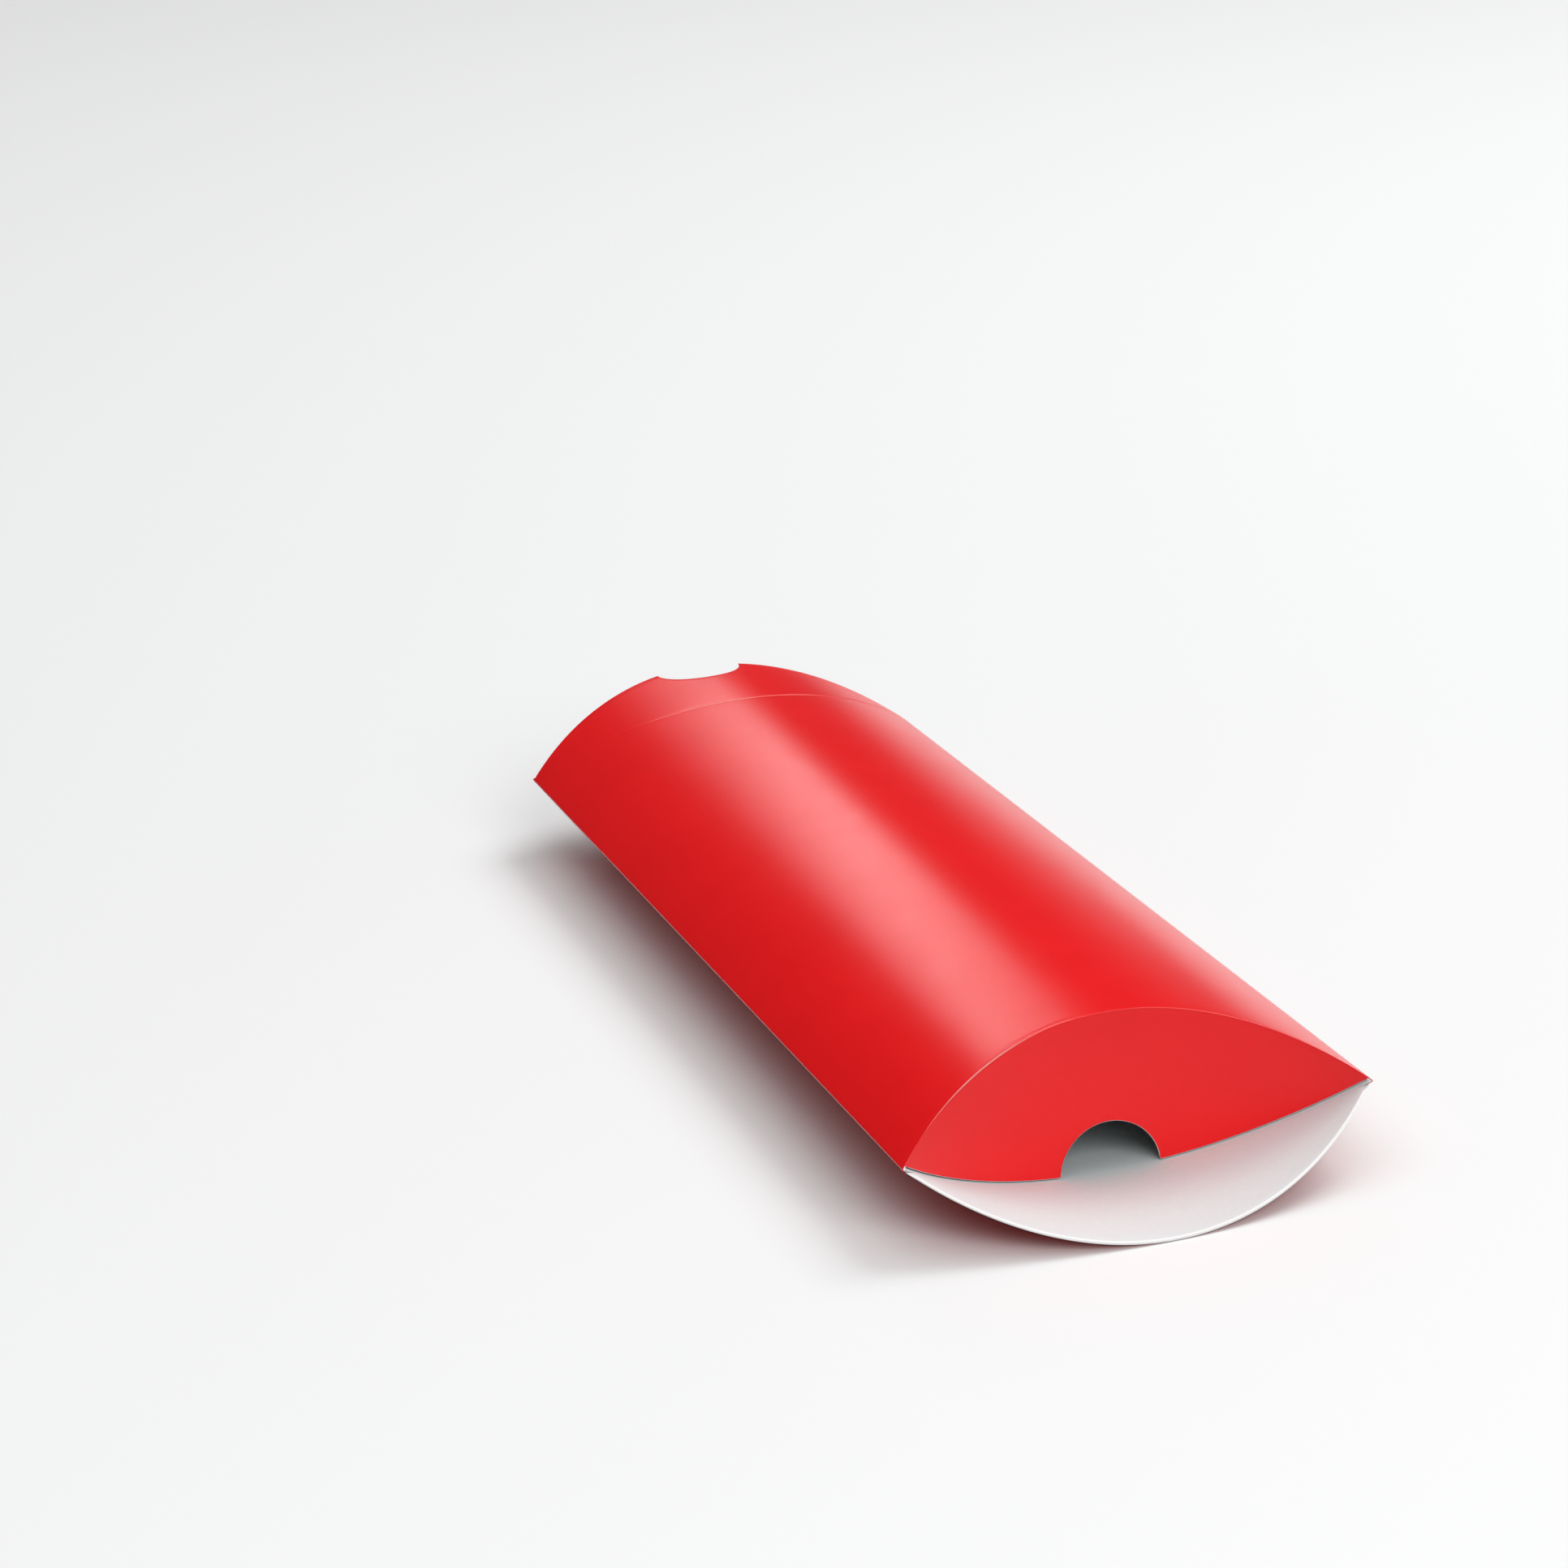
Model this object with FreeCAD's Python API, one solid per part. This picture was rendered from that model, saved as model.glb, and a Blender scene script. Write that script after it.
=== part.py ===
import FreeCAD, Part
import math
import os

# Pillow box of folded board: two bowed panels, glued along one side, and four
# lens-shaped end flaps. Millimetres, Z up, X across, Y along, near end at -Y.
# The box lies on the crown of its lower panel, at Z = 0.

# Driving dimensions
box_width = 70.0            # corner to corner across the end
box_length = 200.0          # corner to corner along the side
box_height = 25.0           # crown to crown
board = 0.45                # thickness of the board
notch_radius = 7.6          # half-round thumb notch in the free edge of a thumb flap
tuck_clearance = 0.25       # free edge of a folded flap to the panel that it stands on
strips_per_flap = 7         # a flap bends along the straight lines between its strips
slit = 0.1                  # width of the line between two strips
crease_gap = 0.06           # room left in the score along a crease
inner_flap_tilt = 2.5       # degrees past square of the flap that is folded in first
outer_flap_tilt = -2.5      # degrees past square of the flap that closes over it
tab_width = 12.0            # glue tab inside the right-hand side seam
tab_end_clearance = 3.0     # tapered ends of the tab to the folded flaps
glue_thickness = 0.1
glue_margin = 1.2           # bare rim of the tab round the glue

# Worked-out sizes of the bow
half_width = box_width / 2
half_height = box_height / 2
panel_radius = (half_width ** 2 + half_height ** 2) / box_height
arc_drop = panel_radius - half_height
half_angle = math.degrees(math.asin(half_width / panel_radius))
inner_radius = panel_radius - board
edge_radius = inner_radius - tuck_clearance
edge_reach = edge_radius - arc_drop
margin = 5.0                # how far the cutting shapes run past the board

Vec = FreeCAD.Vector
across = Vec(1, 0, 0)
along = Vec(0, 1, 0)
up = Vec(0, 0, 1)

# Every end is drawn as the near end of the upper panel: Y runs into the box from
# its corners, and Z up from the plane through all four corners.


def bow(x):
    """Height of the panel's outer face, which is also the depth of the crease."""
    return math.sqrt(panel_radius ** 2 - x ** 2) - arc_drop


def rod(radius, centre, axis, start, end):
    """Round bar along an axis, from start to end."""
    return Part.makeCylinder(radius, end - start, centre + axis * start, axis)


def prism(points, sweep):
    """Straight prism on a closed outline."""
    outline = Part.makePolygon(points + points[:1])
    return Part.Face(outline).extrude(sweep)


def ellipse_face(centre, long_axis, long_radius, short_radius):
    """Flat oval whose short axis lies across the box."""
    oval = Part.Ellipse(centre + long_axis * long_radius, centre + across * short_radius, centre)
    return Part.Face(Part.Wire([oval.toShape()]))


def bent_board(start, end):
    """Board bowed as the upper panel is, from start to end along the box."""
    centre = Vec(0, 0, -arc_drop)
    shell = rod(panel_radius, centre, along, start, end).cut(rod(inner_radius, centre, along, start, end))
    above = Part.makeBox(box_width, end - start, half_height + margin, Vec(-half_width, start, 0))
    return shell.common(above)


def crease_side(shrink):
    """Everything on the flap's side of the mitre through the crease of a folded flap."""
    rise = Vec(0, 1, 1).normalize()
    depth = Vec(0, 1, -1).normalize() * box_width
    centre = Vec(0, -arc_drop, -arc_drop) - rise * shrink
    return ellipse_face(centre - depth / 2, rise, math.sqrt(2) * panel_radius, panel_radius).extrude(depth)


def panel():
    """One bowed panel, its ends mitred along the two curved creases."""
    near_cut = crease_side(0)
    far_cut = near_cut.mirror(along * (box_length / 2), along)
    return bent_board(0, box_length).cut(near_cut).cut(far_cut)


def sector(centre, stretch, first, last, sweep):
    """Wedge from the axis of the bow, between two angles off its middle, in degrees."""
    points = [centre]
    for angle in (first, (first + last) / 2, last):
        turn = math.radians(angle)
        points.append(centre + (across * math.sin(turn) + stretch * math.cos(turn)) * 2 * panel_radius)
    return prism(points, sweep)


def strip_angles(number):
    """Angles at the two sides of a strip, counted from the left."""
    step = 2 * half_angle / strips_per_flap
    half_slit = math.degrees(slit / 2 / panel_radius)
    return -half_angle + number * step + half_slit, -half_angle + (number + 1) * step - half_slit


def open_flap(with_notch):
    """Flap that runs straight on from its panel."""
    reach = edge_reach + margin
    free_edge = rod(edge_radius, Vec(0, arc_drop, 0), up, -margin, box_height)
    crease_plane = prism([Vec(-half_width, -reach, -reach + crease_gap),
                          Vec(-half_width, box_height, box_height + crease_gap),
                          Vec(-half_width, -reach, box_height + crease_gap)], across * box_width)
    flap = bent_board(-reach, half_height + margin).common(free_edge).common(crease_plane)
    if with_notch:
        flap = flap.cut(rod(notch_radius, Vec(0, -edge_reach, 0), up, -margin, box_height))
    strips = []
    centre = Vec(0, -reach, -arc_drop)
    for number in range(strips_per_flap):
        first, last = strip_angles(number)
        strips.append(flap.common(sector(centre, up, first, last, along * (reach + box_height))))
    middle = strips_per_flap // 2
    strips[middle] = clear_when_closed(strips[middle])
    return strips


def folded_flap(with_notch):
    """Flap folded in square to the box, a little past square, bowed the other way."""
    slope = math.tan(math.radians(inner_flap_tilt))
    drop = Vec(0, slope, -1) * (box_height + 2 * margin)
    centre = along * (-(1 + slope) * arc_drop) - drop / 2
    long_radius = (1 + slope) * panel_radius
    ring = ellipse_face(centre, along, long_radius + board, panel_radius + board).cut(
        ellipse_face(centre, along, long_radius, panel_radius))
    front = Part.makeBox(box_width, box_height + margin, box_height + 2 * margin,
                         Vec(-half_width, -margin, -half_height - margin))
    free_edge = rod(edge_radius, Vec(0, 0, arc_drop), along, -margin, box_height)
    flap = ring.extrude(drop).common(front).common(crease_side(crease_gap)).common(free_edge)
    if with_notch:
        flap = flap.cut(rod(notch_radius, Vec(0, 0, -edge_reach), along, -margin, box_height))
    strips = []
    for number in range(strips_per_flap):
        first, last = strip_angles(number)
        strips.append(flap.common(sector(centre, along * (1 + slope), first, last, drop)))
    return strips


def clear_when_closed(strip):
    """Middle strip of an open flap, relieved where it would bite into the panel's end once closed."""
    panel_end = bent_board(0, box_height).cut(crease_side(crease_gap))
    closing = 90 + outer_flap_tilt
    return strip.cut(panel_end.rotated(Vec(0, half_height, half_height), across, -closing))


def glue_tab():
    """Tab folded in from the lower panel, under the right-hand side of the upper one."""
    centre = Vec(0, 0, -arc_drop)
    outer = inner_radius - glue_thickness
    tab = rod(outer, centre, along, 0, box_length).cut(rod(outer - board, centre, along, 0, box_length))
    inside_lower = rod(inner_radius, Vec(0, 0, arc_drop), along, 0, box_length)
    return tab.common(inside_lower).common(tab_outline(0))


def seam_glue():
    """Film of glue between the tab and the upper panel."""
    centre = Vec(0, 0, -arc_drop)
    film = rod(inner_radius, centre, along, 0, box_length).cut(
        rod(inner_radius - glue_thickness, centre, along, 0, box_length))
    above = Part.makeBox(box_width, box_length, box_height, Vec(0, 0, glue_margin))
    return film.common(above).common(tab_outline(glue_margin))


def tab_outline(inset):
    """Upright prism on the plan of the tab, with tapered ends."""
    inner_x = half_width - tab_width + inset
    inner_end = bow(inner_x) + tab_end_clearance + inset
    outer_end = tab_end_clearance + inset
    points = [Vec(inner_x, inner_end, -box_height),
              Vec(half_width, outer_end, -box_height),
              Vec(half_width, box_length - outer_end, -box_height),
              Vec(inner_x, box_length - inner_end, -box_height)]
    return prism(points, up * 2 * box_height)


def place(shape, far=False, lower=False):
    """Move a shape from the drawing's end of the box to its own."""
    if lower:
        shape = shape.mirror(Vec(0, 0, 0), up)
    shape = shape.translated(Vec(0, -box_length / 2, half_height))
    if far:
        shape = shape.mirror(Vec(0, 0, 0), along)
    return shape


def strip_name(flap, number):
    """Strips are numbered from the left-hand corner of the flap."""
    return f"{flap}_strip_{number + 1}"


parts = {
    "upper_panel": place(panel()),
    "lower_panel": place(panel(), lower=True),
    "glue_tab": place(glue_tab()),
    "seam_glue": place(seam_glue()),
}
flaps = (
    ("near_thumb_flap", folded_flap(True), False, False),
    ("near_plain_flap", open_flap(False), False, True),
    ("far_thumb_flap", open_flap(True), True, False),
    ("far_plain_flap", folded_flap(False), True, True),
)
for flap_name, strips, is_far, is_lower in flaps:
    for index, piece in enumerate(strips):
        parts[strip_name(flap_name, index)] = place(piece, is_far, is_lower)

os.makedirs("parts", exist_ok=True)
for name, shape in parts.items():
    solids = shape.Solids
    if len(solids) != 1 or not shape.isValid():
        raise ValueError(f"{name} has {len(solids)} solids")
    solids[0].exportStep(f"parts/{name}.step")
    print(name, round(solids[0].Volume, 2), "mm3")
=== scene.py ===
"""Pillow box of satin red board, white inside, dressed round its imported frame."""

import math

import bpy
from mathutils import Matrix, Vector


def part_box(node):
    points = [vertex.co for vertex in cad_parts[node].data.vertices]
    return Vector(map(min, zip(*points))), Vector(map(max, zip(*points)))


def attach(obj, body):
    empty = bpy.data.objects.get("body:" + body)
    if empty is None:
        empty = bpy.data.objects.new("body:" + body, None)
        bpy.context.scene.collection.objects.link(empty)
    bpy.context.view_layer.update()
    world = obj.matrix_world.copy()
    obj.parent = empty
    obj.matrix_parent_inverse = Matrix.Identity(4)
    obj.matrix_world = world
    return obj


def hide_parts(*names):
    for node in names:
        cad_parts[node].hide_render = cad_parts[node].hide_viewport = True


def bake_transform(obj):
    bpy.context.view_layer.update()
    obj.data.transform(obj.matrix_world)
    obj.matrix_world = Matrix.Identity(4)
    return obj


bl_info = {
    "name": "Pillow box",
    "version": (1, 0, 0),
    "blender": (4, 5, 0),
    "location": "3D View > Sidebar > Pillow box",
    "description": "Folds a pillow box from bowed board, with its finishes and its stage",
    "category": "Object",
}

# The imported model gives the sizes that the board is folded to.
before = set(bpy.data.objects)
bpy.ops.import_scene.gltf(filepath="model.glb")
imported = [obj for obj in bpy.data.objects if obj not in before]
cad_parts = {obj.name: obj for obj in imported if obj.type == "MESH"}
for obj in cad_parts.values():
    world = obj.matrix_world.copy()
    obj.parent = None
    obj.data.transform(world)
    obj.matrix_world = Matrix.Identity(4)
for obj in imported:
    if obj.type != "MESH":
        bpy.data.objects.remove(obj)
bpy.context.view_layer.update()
upper_low, upper_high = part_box("upper_panel")
lower_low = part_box("lower_panel")[0]

MM = 0.001
STRIPS = sum(name.startswith("near_thumb_flap_strip_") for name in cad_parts)     # bodies in each flap
BLEND_SHARE = 0.3472        # of a blend's line that a span covers, from a weight of 1/4 to one of 3/4
SHARP_ANGLE = math.radians(35)      # between two faces, past which their edge isn't shaded smooth
TIP_SHARE = 0.06            # of the board's thickness that is left at the corner of a flap

# Part of a crease where a highlight is painted on as a pale line: its middle and half length, across the box.
NEAR_PAINTED_GLINT = (-20 * MM, 14 * MM)
FAR_PAINTED_GLINT = (2 * MM, 24 * MM)
PAINTED_GLINT_LOST = 0.4             # share of the painted highlight that is lost at the ends of that part

# Where a face lies in the board, as a number that its finish is chosen by.
INSIDE = 0.0
ON_CUT = 0.5
IN_FOLD = 0.6
OUTSIDE = 1.0

# Bare white share of an end that lies in a fold, from the inside of the board.
PANEL_BARE = 0.7
FLAP_BARE = 0.45
OPEN_PRINT = 0.5            # how much less of a panel's end is bare at an open flap, away from its corners
CORNER_POWER = 6.0          # how close to the corners that stops

# Shares of a slab before it is bent.
WELD = 0.0001               # distance within which its points are joined
LAST_ROW = 0.9999           # place past which only its last row or column lies


class PillowBoxSizes(bpy.types.PropertyGroup):
    """Sizes of the folded board."""

    width: bpy.props.FloatProperty(
        name="Width", description="Corner to corner across an end",
        default=upper_high.x - upper_low.x, unit="LENGTH")
    length: bpy.props.FloatProperty(
        name="Length", description="Corner to corner along a side",
        default=upper_high.y - upper_low.y, unit="LENGTH")
    height: bpy.props.FloatProperty(
        name="Height", description="Crown of the lower panel to crown of the upper one",
        default=upper_high.z - lower_low.z, unit="LENGTH")
    board: bpy.props.FloatProperty(
        name="Board", description="Thickness of the board", default=0.45 * MM, unit="LENGTH")
    ridge_radius: bpy.props.FloatProperty(
        name="Ridge radius", description="Outside radius of the fold along each side",
        default=0.3 * MM, unit="LENGTH")
    crease_radius: bpy.props.FloatProperty(
        name="Crease radius", description="Rounding of the board on each side of a crease",
        default=0.08 * MM, unit="LENGTH")
    crease_slope: bpy.props.FloatProperty(
        name="Crease slope", description="Draw-back of the board's end at a folded flap, against its depth",
        default=0.22)
    score_offset: bpy.props.FloatProperty(
        name="Score offset", description="Crease to the groove that the scoring rule leaves beside it",
        default=0.5 * MM, unit="LENGTH")
    score_reach: bpy.props.FloatProperty(
        name="Score reach", description="Half the width of that groove", default=0.34 * MM, unit="LENGTH")
    score_depth: bpy.props.FloatProperty(
        name="Score depth", description="Depth of that groove", default=0.026 * MM, unit="LENGTH")
    bead: bpy.props.FloatProperty(
        name="Bead", description="Ridge inside a folded flap's crease, twice as high at its corners",
        default=0.6 * MM, unit="LENGTH")
    bead_reach: bpy.props.FloatProperty(
        name="Bead reach", description="Width of that ridge", default=1.3 * MM, unit="LENGTH")
    notch_radius: bpy.props.FloatProperty(
        name="Notch radius", description="Half-round thumb notch of a thumb flap",
        default=7.6 * MM, unit="LENGTH")
    edge_outside: bpy.props.FloatProperty(
        name="Edge outside", description="Rounding of a free edge on the red side",
        default=0.05 * MM, unit="LENGTH")
    edge_inside: bpy.props.FloatProperty(
        name="Edge inside", description="Rounding of a free edge on the white side",
        default=0.34 * MM, unit="LENGTH")
    tuck_clearance: bpy.props.FloatProperty(
        name="Tuck clearance", description="Free edge of a folded flap to the panel that it stands on",
        default=0.25 * MM, unit="LENGTH")
    flap_tilt: bpy.props.FloatProperty(
        name="Flap tilt", description="How far past square a folded flap leans into the box",
        default=math.radians(2.5), subtype="ANGLE")
    flap_tip: bpy.props.FloatProperty(
        name="Flap tip", description="Turn of the bow at which a flap ends in its corner",
        default=math.radians(38.4), subtype="ANGLE")
    tip_taper: bpy.props.FloatProperty(
        name="Tip taper", description="Last turn of the bow, where the corner of a flap is pressed thin",
        default=math.radians(1.5), subtype="ANGLE")
    tab_width: bpy.props.FloatProperty(
        name="Tab width", description="Width of the glue tab", default=12 * MM, unit="LENGTH")
    tab_clearance: bpy.props.FloatProperty(
        name="Tab clearance", description="Ends of the glue tab to the creases",
        default=3 * MM, unit="LENGTH")
    glue: bpy.props.FloatProperty(
        name="Glue", description="Thickness of the glue film", default=0.1 * MM, unit="LENGTH")
    glue_margin: bpy.props.FloatProperty(
        name="Glue margin", description="Bare rim of the tab round the glue", default=1.2 * MM, unit="LENGTH")


class PillowBoxFinish(bpy.types.PropertyGroup):
    """Colours of the board, of the highlight painted on its creases, and of the glue."""

    red: bpy.props.FloatVectorProperty(
        name="Red face", description="Printed and laminated outside of the board",
        default=(0.955, 0.006, 0.009), size=3, subtype="COLOR", min=0, max=1)
    deep_red: bpy.props.FloatVectorProperty(
        name="Deep red", description="Darker cloud in the print",
        default=(0.92, 0.005, 0.008), size=3, subtype="COLOR", min=0, max=1)
    # Pale pink of the highlight that is painted along parts of the creases.
    painted_glint_red: bpy.props.FloatVectorProperty(
        name="Glinting red", description="Laminate stretched over a crease",
        default=(0.97, 0.46, 0.41), size=3, subtype="COLOR", min=0, max=1)
    white: bpy.props.FloatVectorProperty(
        name="White back", description="Bare inside of the board",
        default=(0.735, 0.785, 0.79), size=3, subtype="COLOR", min=0, max=1)
    core: bpy.props.FloatVectorProperty(
        name="Cut edge", description="White core at the cut edges",
        default=(0.95, 0.95, 0.945), size=3, subtype="COLOR", min=0, max=1)
    glue: bpy.props.FloatVectorProperty(
        name="Glue", description="Dried glue in the side seam",
        default=(0.80, 0.76, 0.62), size=3, subtype="COLOR", min=0, max=1)


class PillowBoxStage(bpy.types.PropertyGroup):
    """Floor, lamps and camera."""

    # Near colour of the floor, painted darker than the far colour as soft shade around the box.
    floor: bpy.props.FloatVectorProperty(
        name="Floor", description="Colour of the floor where it is seen",
        default=(0.905, 0.91, 0.91), size=3, subtype="COLOR", min=0, max=1)
    far_floor: bpy.props.FloatVectorProperty(
        name="Far floor", description="Colour of the floor behind the box",
        default=(0.98, 0.985, 0.985), size=3, subtype="COLOR", min=0, max=1)
    bounce: bpy.props.FloatVectorProperty(
        name="Bounce", description="Colour of the floor in the light that it throws back",
        default=(0.36, 0.38, 0.38), size=3, subtype="COLOR", min=0, max=1)
    dome: bpy.props.FloatProperty(
        name="Dome", description="Brightness of the light overhead", default=1.05, min=0)
    wall: bpy.props.FloatProperty(
        name="Wall", description="Brightness of the room near the horizon", default=0.05, min=0)
    front_power: bpy.props.FloatProperty(
        name="Front lamp", description="Power of the soft lamp in front", default=11.6, min=0, unit="POWER")
    side_power: bpy.props.FloatProperty(
        name="Side lamp", description="Power of the soft lamp at the right", default=9.0, min=0, unit="POWER")
    strip_power: bpy.props.FloatProperty(
        name="Strip lamp", description="Power of the strip lamp behind", default=1.6, min=0, unit="POWER")
    low_power: bpy.props.FloatProperty(
        name="Low lamp", description="Power of the low lamp behind, at the right", default=0.05, min=0,
        unit="POWER")
    lens: bpy.props.FloatProperty(
        name="Lens", description="Focal length on a 36 mm sensor", default=101.84, min=1)


class Field:
    """A number in a node tree, so that the rule of a shape can be written as a formula."""

    def __init__(self, tree, socket):
        self.tree = tree
        self.socket = socket

    def combine(self, operation, *others):
        """Add a maths node that takes this number first."""
        node = self.tree.nodes.new("ShaderNodeMath")
        node.operation = operation
        for place, value in enumerate((self,) + others):
            if isinstance(value, Field):
                self.tree.links.new(value.socket, node.inputs[place])
            else:
                node.inputs[place].default_value = value
        return Field(self.tree, node.outputs[0])

    def __add__(self, other):
        return self.combine("ADD", other)

    __radd__ = __add__

    def __sub__(self, other):
        return self.combine("SUBTRACT", other)

    def __rsub__(self, other):
        return self.combine("MULTIPLY_ADD", -1.0, other)

    def __mul__(self, other):
        return self.combine("MULTIPLY", other)

    __rmul__ = __mul__

    def __truediv__(self, other):
        return self.combine("DIVIDE", other)

    def __pow__(self, other):
        return self.combine("POWER", other)

    def least(self, other):
        """The smaller of the two."""
        return self.combine("MINIMUM", other)

    def most(self, other):
        """The larger of the two."""
        return self.combine("MAXIMUM", other)

    def sine(self):
        return self.combine("SINE")

    def cosine(self):
        return self.combine("COSINE")

    def root(self):
        return self.combine("SQRT")

    def size(self):
        """Without its sign."""
        return self.combine("ABSOLUTE")

    def sign(self):
        return self.combine("SIGN")

    def over(self, limit):
        """1 above the limit and 0 below it."""
        return self.combine("GREATER_THAN", limit)


class BoardTree:
    """A node tree that bends a flat slab of board into one piece, by a rule."""

    def __init__(self, name, labels):
        self.tree = bpy.data.node_groups.new(name, "GeometryNodeTree")
        face = self.tree.interface
        for label in ("Columns", "Rows"):
            face.new_socket(label, in_out="INPUT", socket_type="NodeSocketInt")
        for label in labels:
            face.new_socket(label, in_out="INPUT", socket_type="NodeSocketFloat")
        face.new_socket("Board", in_out="OUTPUT", socket_type="NodeSocketGeometry")
        given = self.tree.nodes.new("NodeGroupInput")
        self.inputs = {}
        for label in ("Columns", "Rows") + tuple(labels):
            self.inputs[label] = Field(self.tree, given.outputs[label])
        place = self.tree.nodes.new("GeometryNodeInputPosition")
        parts = self.add("ShaderNodeSeparateXYZ", place.outputs[0])
        self.across = Field(self.tree, parts.outputs[0]) + 0.5
        self.along = Field(self.tree, parts.outputs[1]) + 0.5
        self.outer = Field(self.tree, parts.outputs[2])
        self.geometry = self.slab()

    def add(self, kind, *sources):
        """Add a node and feed its first inputs."""
        node = self.tree.nodes.new(kind)
        for place, source in enumerate(sources):
            self.tree.links.new(source, node.inputs[place])
        return node

    def slab(self):
        """Closed slab, one unit each way: its top is the outer face of the board."""
        grid = self.tree.nodes.new("GeometryNodeMeshGrid")
        for label, count in (("Vertices X", "Columns"), ("Vertices Y", "Rows")):
            self.tree.links.new(self.inputs[count].socket, grid.inputs[label])
        raised = self.add("GeometryNodeExtrudeMesh", grid.outputs["Mesh"])
        raised.inputs["Offset Scale"].default_value = 1.0
        raised.inputs["Individual"].default_value = False
        base = self.add("GeometryNodeFlipFaces", grid.outputs["Mesh"])
        both = self.add("GeometryNodeJoinGeometry", raised.outputs["Mesh"])
        self.tree.links.new(base.outputs[0], both.inputs[0])
        merged = self.add("GeometryNodeMergeByDistance", both.outputs[0])
        merged.inputs["Distance"].default_value = WELD
        return merged.outputs[0]

    def mark_layers(self, layer):
        """Remember on every face where it lies: inside, on a cut edge, in a fold or outside."""
        node = self.add("GeometryNodeCaptureAttribute", self.geometry)
        node.domain = "FACE"
        node.capture_items.new("FLOAT", "Layer")
        self.tree.links.new(layer.socket, node.inputs["Layer"])
        self.geometry = node.outputs["Geometry"]
        self.layer = Field(self.tree, node.outputs["Layer"])

    def paint(self, finish, chosen=None):
        """Give a finish to the whole board, or to the faces where a field is 1."""
        node = self.add("GeometryNodeSetMaterial", self.geometry)
        node.inputs["Material"].default_value = finish
        if chosen is not None:
            self.tree.links.new(chosen.socket, node.inputs["Selection"])
        self.geometry = node.outputs[0]

    def keep(self, label, field):
        """Store a field on the mesh, for the finish to read."""
        node = self.add("GeometryNodeStoreNamedAttribute", self.geometry)
        node.inputs["Name"].default_value = label
        self.tree.links.new(field.socket, node.inputs["Value"])
        self.geometry = node.outputs[0]

    def bend(self, x, y, z):
        """Move the slab to where the rule says."""
        place = self.add("ShaderNodeCombineXYZ", x.socket, y.socket, z.socket)
        moved = self.add("GeometryNodeSetPosition", self.geometry)
        self.tree.links.new(place.outputs[0], moved.inputs["Position"])
        smooth = self.add("GeometryNodeSetShadeSmooth", moved.outputs[0])
        self.geometry = smooth.outputs[0]

    def end(self, outside, inside, rim, fold):
        """Make the board real, and finish its outside, its inside, its cut edges and its folds."""
        self.geometry = self.add("GeometryNodeRealizeInstances", self.geometry).outputs[0]
        self.paint(rim)
        self.paint(fold, self.layer.over((ON_CUT + IN_FOLD) / 2))
        self.paint(outside, self.layer.over((IN_FOLD + OUTSIDE) / 2))
        self.paint(inside, 1.0 - self.layer.over((INSIDE + ON_CUT) / 2))
        out = self.tree.nodes.new("NodeGroupOutput")
        self.tree.links.new(self.geometry, out.inputs[0])

    def make(self, name, values):
        """Run the tree with these sizes and keep the result as a plain mesh."""
        piece = bpy.data.objects.new(name, bpy.data.meshes.new(name))
        bpy.context.scene.collection.objects.link(piece)
        modifier = piece.modifiers.new("Board", "NODES")
        modifier.node_group = self.tree
        for socket in self.tree.interface.items_tree:
            if socket.in_out == "INPUT":
                modifier[socket.identifier] = values[socket.name]
        graph = bpy.context.evaluated_depsgraph_get()
        mesh = bpy.data.meshes.new_from_object(piece.evaluated_get(graph))
        piece.modifiers.remove(modifier)
        blank = piece.data
        piece.data = mesh
        bpy.data.meshes.remove(blank)
        mesh.name = name
        mesh.set_sharp_from_angle(angle=SHARP_ANGLE)
        if len(mesh.polygons) == 0:
            raise RuntimeError(f"{name} has no faces")
        return piece


class Bow:
    """Worked-out sizes of the bow that panels and flaps share."""

    def __init__(self, sizes):
        half_width = sizes.width / 2
        self.half_height = sizes.height / 2
        self.half_length = sizes.length / 2
        self.radius = (half_width ** 2 + self.half_height ** 2) / sizes.height
        self.drop = self.radius - self.half_height
        self.half_angle = math.asin(half_width / self.radius)
        self.ridge_angle = math.acos(self.drop / (self.radius - sizes.ridge_radius))
        self.inner_angle = math.acos(self.drop / (self.radius - sizes.board))
        self.edge_radius = self.radius - sizes.board - sizes.tuck_clearance
        self.edge_reach = self.edge_radius - self.drop

    def strip_middle(self, number):
        """Turn of the bow at the middle of a strip, numbered from 1 at the left."""
        return self.half_angle * ((2 * number - 1) / STRIPS - 1)

    def inputs(self, sizes):
        """Inputs that the trees share."""
        return {
            "Radius": self.radius, "Drop": self.drop, "Thickness": sizes.board,
            "Half Length": self.half_length, "Half Height": self.half_height,
            "Crease Radius": sizes.crease_radius, "Crease Slope": sizes.crease_slope, "Crease Rows": 3.0,
            "Score Offset": sizes.score_offset, "Score Reach": sizes.score_reach,
            "Score Depth": sizes.score_depth,
        }


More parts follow.
